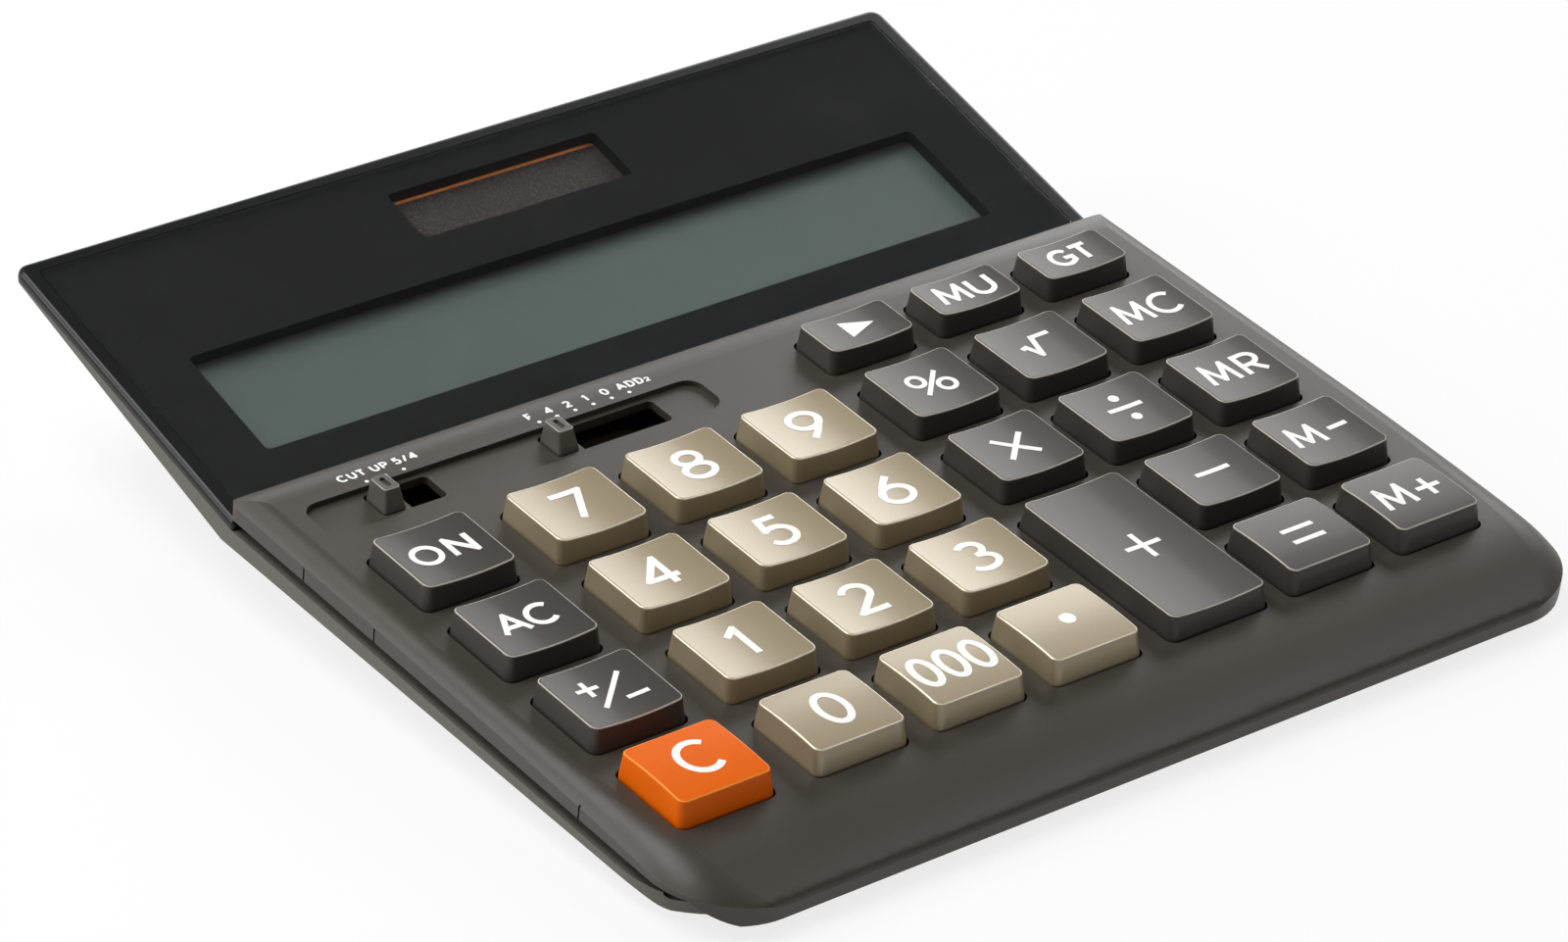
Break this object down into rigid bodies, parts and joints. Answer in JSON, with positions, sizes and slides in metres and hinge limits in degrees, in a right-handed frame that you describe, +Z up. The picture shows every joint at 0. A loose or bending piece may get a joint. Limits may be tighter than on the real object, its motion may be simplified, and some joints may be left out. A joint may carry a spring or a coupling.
{
  "type": "desk calculator",
  "caption": "Flat desk calculator with a raised display wing under a clear panel, a solar strip, sprung keys in a keyboard cover and two sliding selectors.",
  "frame": {"origin": "middle of the footprint, on the table under the feet", "axes": "+X to the user's right, +Y away from the user towards the display, +Z up"},
  "size_m": [0.151, 0.1583, 0.0285],
  "materials": {
    "cover_plastic": "satin dark brown-grey",
    "case_plastic": "fine texture, black",
    "frame_plastic": "smooth black",
    "lens_clear": "clear, glossy",
    "lcd_glass": "grey-green, satin",
    "foil": "silver",
    "holder_plastic": "plain",
    "steel": "zinc plated",
    "solar_glass": "dark brown, glossy",
    "ribbon_film": "amber film",
    "lead_red": "insulation",
    "lead_black": "insulation",
    "silicone": "milky",
    "board_laminate": "brown paper laminate",
    "resin": "cast resin",
    "cell_steel": "nickel plated",
    "contact_metal": "spring metal",
    "feet_rubber": "matt",
    "key_dark": "satin dark grey",
    "key_light": "satin champagne",
    "key_orange": "satin orange",
    "knob_plastic": "satin dark grey"
  },
  "bodies": {
    "housing": {"top_cover": "cover_plastic", "bottom_case": "case_plastic", "display_frame": "frame_plastic", "display_lens": "lens_clear", "lcd_panel": "lcd_glass", "lcd_reflector": "foil", "lcd_holder": "holder_plastic", "holder_screws": "steel", "solar_cell": "solar_glass", "lcd_ribbon": "ribbon_film", "solar_lead_positive": "lead_red", "solar_lead_negative": "lead_black", "rubber_keypad": "silicone", "main_board": "board_laminate", "board_screws": "steel", "case_screws": "steel", "chip_cap": "resin", "buffer_capacitor": "resin", "button_cell": "cell_steel", "cell_contact_positive": "contact_metal", "cell_contact_negative": "contact_metal", "rubber_feet": "feet_rubber"},
    "key_correct_body": {"key_correct": "key_dark"},
    "key_mu_body": {"key_mu": "key_dark"},
    "key_gt_body": {"key_gt": "key_dark"},
    "key_on_body": {"key_on": "key_dark"},
    "key_7_body": {"key_7": "key_light"},
    "key_8_body": {"key_8": "key_light"},
    "key_9_body": {"key_9": "key_light"},
    "key_percent_body": {"key_percent": "key_dark"},
    "key_root_body": {"key_root": "key_dark"},
    "key_mc_body": {"key_mc": "key_dark"},
    "key_ac_body": {"key_ac": "key_dark"},
    "key_4_body": {"key_4": "key_light"},
    "key_5_body": {"key_5": "key_light"},
    "key_6_body": {"key_6": "key_light"},
    "key_multiply_body": {"key_multiply": "key_dark"},
    "key_divide_body": {"key_divide": "key_dark"},
    "key_mr_body": {"key_mr": "key_dark"},
    "key_sign_body": {"key_sign": "key_dark"},
    "key_1_body": {"key_1": "key_light"},
    "key_2_body": {"key_2": "key_light"},
    "key_3_body": {"key_3": "key_light"},
    "key_minus_body": {"key_minus": "key_dark"},
    "key_m_minus_body": {"key_m_minus": "key_dark"},
    "key_c_body": {"key_c": "key_orange"},
    "key_0_body": {"key_0": "key_light"},
    "key_000_body": {"key_000": "key_light"},
    "key_point_body": {"key_point": "key_light"},
    "key_equals_body": {"key_equals": "key_dark"},
    "key_m_plus_body": {"key_m_plus": "key_dark"},
    "key_plus_body": {"key_plus": "key_dark"},
    "decimal_slider": {"decimal_knob": "knob_plastic", "decimal_wiper": "contact_metal"},
    "rounding_slider": {"rounding_knob": "knob_plastic", "rounding_wiper": "contact_metal"}
  },
  "joints": [
    {"name": "key_correct_press", "type": "slide", "parent": "housing", "child": "key_correct_body", "axis": [0, 0.0872, -0.9962], "range_m": [0, 0.0014], "stiffness_N_per_m": 450, "springref_m": -0.0004, "deforming": ["rubber_keypad"]},
    {"name": "key_mu_press", "type": "slide", "parent": "housing", "child": "key_mu_body", "axis": [0, 0.0872, -0.9962], "range_m": [0, 0.0014], "stiffness_N_per_m": 450, "springref_m": -0.0004, "deforming": ["rubber_keypad"]},
    {"name": "key_gt_press", "type": "slide", "parent": "housing", "child": "key_gt_body", "axis": [0, 0.0872, -0.9962], "range_m": [0, 0.0014], "stiffness_N_per_m": 450, "springref_m": -0.0004, "deforming": ["rubber_keypad"]},
    {"name": "key_on_press", "type": "slide", "parent": "housing", "child": "key_on_body", "axis": [0, 0.0872, -0.9962], "range_m": [0, 0.0014], "stiffness_N_per_m": 450, "springref_m": -0.0004, "deforming": ["rubber_keypad"]},
    {"name": "key_7_press", "type": "slide", "parent": "housing", "child": "key_7_body", "axis": [0, 0.0872, -0.9962], "range_m": [0, 0.0014], "stiffness_N_per_m": 450, "springref_m": -0.0004, "deforming": ["rubber_keypad"]},
    {"name": "key_8_press", "type": "slide", "parent": "housing", "child": "key_8_body", "axis": [0, 0.0872, -0.9962], "range_m": [0, 0.0014], "stiffness_N_per_m": 450, "springref_m": -0.0004, "deforming": ["rubber_keypad"]},
    {"name": "key_9_press", "type": "slide", "parent": "housing", "child": "key_9_body", "axis": [0, 0.0872, -0.9962], "range_m": [0, 0.0014], "stiffness_N_per_m": 450, "springref_m": -0.0004, "deforming": ["rubber_keypad"]},
    {"name": "key_percent_press", "type": "slide", "parent": "housing", "child": "key_percent_body", "axis": [0, 0.0872, -0.9962], "range_m": [0, 0.0014], "stiffness_N_per_m": 450, "springref_m": -0.0004, "deforming": ["rubber_keypad"]},
    {"name": "key_root_press", "type": "slide", "parent": "housing", "child": "key_root_body", "axis": [0, 0.0872, -0.9962], "range_m": [0, 0.0014], "stiffness_N_per_m": 450, "springref_m": -0.0004, "deforming": ["rubber_keypad"]},
    {"name": "key_mc_press", "type": "slide", "parent": "housing", "child": "key_mc_body", "axis": [0, 0.0872, -0.9962], "range_m": [0, 0.0014], "stiffness_N_per_m": 450, "springref_m": -0.0004, "deforming": ["rubber_keypad"]},
    {"name": "key_ac_press", "type": "slide", "parent": "housing", "child": "key_ac_body", "axis": [0, 0.0872, -0.9962], "range_m": [0, 0.0014], "stiffness_N_per_m": 450, "springref_m": -0.0004, "deforming": ["rubber_keypad"]},
    {"name": "key_4_press", "type": "slide", "parent": "housing", "child": "key_4_body", "axis": [0, 0.0872, -0.9962], "range_m": [0, 0.0014], "stiffness_N_per_m": 450, "springref_m": -0.0004, "deforming": ["rubber_keypad"]},
    {"name": "key_5_press", "type": "slide", "parent": "housing", "child": "key_5_body", "axis": [0, 0.0872, -0.9962], "range_m": [0, 0.0014], "stiffness_N_per_m": 450, "springref_m": -0.0004, "deforming": ["rubber_keypad"]},
    {"name": "key_6_press", "type": "slide", "parent": "housing", "child": "key_6_body", "axis": [0, 0.0872, -0.9962], "range_m": [0, 0.0014], "stiffness_N_per_m": 450, "springref_m": -0.0004, "deforming": ["rubber_keypad"]},
    {"name": "key_multiply_press", "type": "slide", "parent": "housing", "child": "key_multiply_body", "axis": [0, 0.0872, -0.9962], "range_m": [0, 0.0014], "stiffness_N_per_m": 450, "springref_m": -0.0004, "deforming": ["rubber_keypad"]},
    {"name": "key_divide_press", "type": "slide", "parent": "housing", "child": "key_divide_body", "axis": [0, 0.0872, -0.9962], "range_m": [0, 0.0014], "stiffness_N_per_m": 450, "springref_m": -0.0004, "deforming": ["rubber_keypad"]},
    {"name": "key_mr_press", "type": "slide", "parent": "housing", "child": "key_mr_body", "axis": [0, 0.0872, -0.9962], "range_m": [0, 0.0014], "stiffness_N_per_m": 450, "springref_m": -0.0004, "deforming": ["rubber_keypad"]},
    {"name": "key_sign_press", "type": "slide", "parent": "housing", "child": "key_sign_body", "axis": [0, 0.0872, -0.9962], "range_m": [0, 0.0014], "stiffness_N_per_m": 450, "springref_m": -0.0004, "deforming": ["rubber_keypad"]},
    {"name": "key_1_press", "type": "slide", "parent": "housing", "child": "key_1_body", "axis": [0, 0.0872, -0.9962], "range_m": [0, 0.0014], "stiffness_N_per_m": 450, "springref_m": -0.0004, "deforming": ["rubber_keypad"]},
    {"name": "key_2_press", "type": "slide", "parent": "housing", "child": "key_2_body", "axis": [0, 0.0872, -0.9962], "range_m": [0, 0.0014], "stiffness_N_per_m": 450, "springref_m": -0.0004, "deforming": ["rubber_keypad"]},
    {"name": "key_3_press", "type": "slide", "parent": "housing", "child": "key_3_body", "axis": [0, 0.0872, -0.9962], "range_m": [0, 0.0014], "stiffness_N_per_m": 450, "springref_m": -0.0004, "deforming": ["rubber_keypad"]},
    {"name": "key_minus_press", "type": "slide", "parent": "housing", "child": "key_minus_body", "axis": [0, 0.0872, -0.9962], "range_m": [0, 0.0014], "stiffness_N_per_m": 450, "springref_m": -0.0004, "deforming": ["rubber_keypad"]},
    {"name": "key_m_minus_press", "type": "slide", "parent": "housing", "child": "key_m_minus_body", "axis": [0, 0.0872, -0.9962], "range_m": [0, 0.0014], "stiffness_N_per_m": 450, "springref_m": -0.0004, "deforming": ["rubber_keypad"]},
    {"name": "key_c_press", "type": "slide", "parent": "housing", "child": "key_c_body", "axis": [0, 0.0872, -0.9962], "range_m": [0, 0.0014], "stiffness_N_per_m": 450, "springref_m": -0.0004, "deforming": ["rubber_keypad"]},
    {"name": "key_0_press", "type": "slide", "parent": "housing", "child": "key_0_body", "axis": [0, 0.0872, -0.9962], "range_m": [0, 0.0014], "stiffness_N_per_m": 450, "springref_m": -0.0004, "deforming": ["rubber_keypad"]},
    {"name": "key_000_press", "type": "slide", "parent": "housing", "child": "key_000_body", "axis": [0, 0.0872, -0.9962], "range_m": [0, 0.0014], "stiffness_N_per_m": 450, "springref_m": -0.0004, "deforming": ["rubber_keypad"]},
    {"name": "key_point_press", "type": "slide", "parent": "housing", "child": "key_point_body", "axis": [0, 0.0872, -0.9962], "range_m": [0, 0.0014], "stiffness_N_per_m": 450, "springref_m": -0.0004, "deforming": ["rubber_keypad"]},
    {"name": "key_equals_press", "type": "slide", "parent": "housing", "child": "key_equals_body", "axis": [0, 0.0872, -0.9962], "range_m": [0, 0.0014], "stiffness_N_per_m": 450, "springref_m": -0.0004, "deforming": ["rubber_keypad"]},
    {"name": "key_m_plus_press", "type": "slide", "parent": "housing", "child": "key_m_plus_body", "axis": [0, 0.0872, -0.9962], "range_m": [0, 0.0014], "stiffness_N_per_m": 450, "springref_m": -0.0004, "deforming": ["rubber_keypad"]},
    {"name": "key_plus_press", "type": "slide", "parent": "housing", "child": "key_plus_body", "axis": [0, 0.0872, -0.9962], "range_m": [0, 0.0014], "stiffness_N_per_m": 450, "springref_m": -0.0004, "deforming": ["rubber_keypad"]},
    {"name": "decimal_select", "type": "slide", "parent": "housing", "child": "decimal_slider", "axis": [1, 0, 0], "range_m": [0, 0.01515]},
    {"name": "rounding_select", "type": "slide", "parent": "housing", "child": "rounding_slider", "axis": [1, 0, 0], "range_m": [0, 0.00606]}
  ]
}
